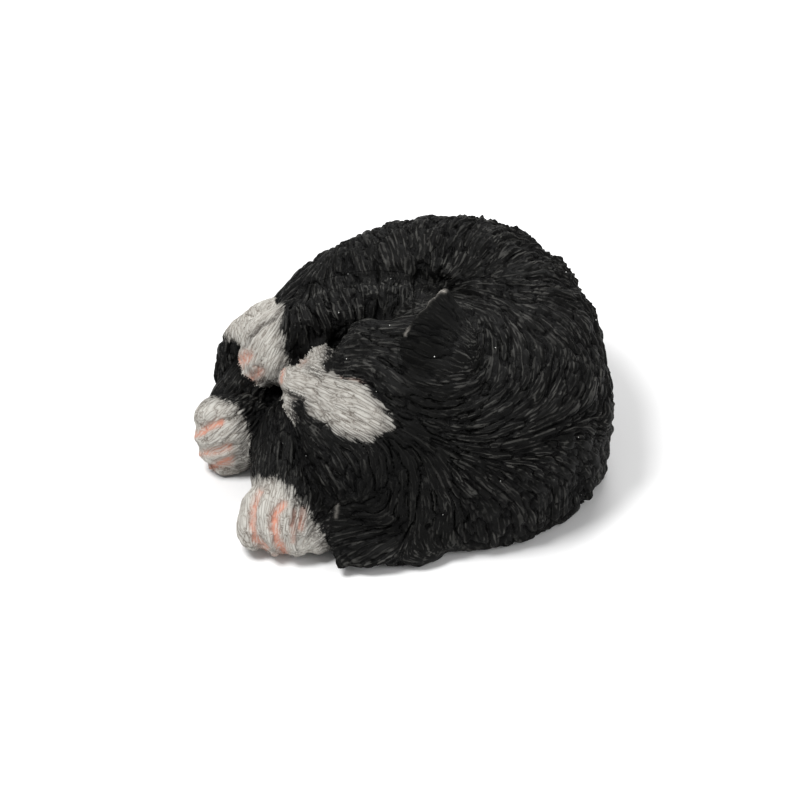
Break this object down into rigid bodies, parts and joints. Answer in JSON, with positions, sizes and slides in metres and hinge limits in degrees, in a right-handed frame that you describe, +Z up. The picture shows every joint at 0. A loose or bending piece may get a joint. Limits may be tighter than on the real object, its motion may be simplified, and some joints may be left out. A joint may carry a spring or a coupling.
{
  "type": "sleeping cat ornament",
  "caption": "Painted cast-resin ornament in the shape of a black-and-white cat curled up asleep, with felt pads under its flat foot.",
  "frame": {"origin": "middle of the box that the ornament fills, at the height of the surface it rests on", "axes": "+Z up; +X from the cat's paws towards its flank; +Y from its crown towards the back of the curl"},
  "size_m": [0.166, 0.1616, 0.0797],
  "materials": {
    "black_coat": "black paint with grey dry-brushed hair ridges, satin",
    "black_and_white_coat": "airbrushed black and off-white paint with pink-washed grooves, satin",
    "bare_resin": "black paint on flat cast resin, matt",
    "felt": "pressed black felt"
  },
  "bodies": {
    "root": {"trunk_casting": "black_coat", "head_casting": "black_and_white_coat", "ear_right": "black_coat", "ear_left": "black_coat", "foreleg_right": "black_and_white_coat", "foreleg_left": "black_and_white_coat", "hind_leg": "black_and_white_coat", "tail": "black_and_white_coat", "base_plate": "bare_resin", "felt_pad_head": "felt", "felt_pad_flank": "felt", "felt_pad_back": "felt", "felt_pad_rump": "felt"}
  },
  "joints": []
}
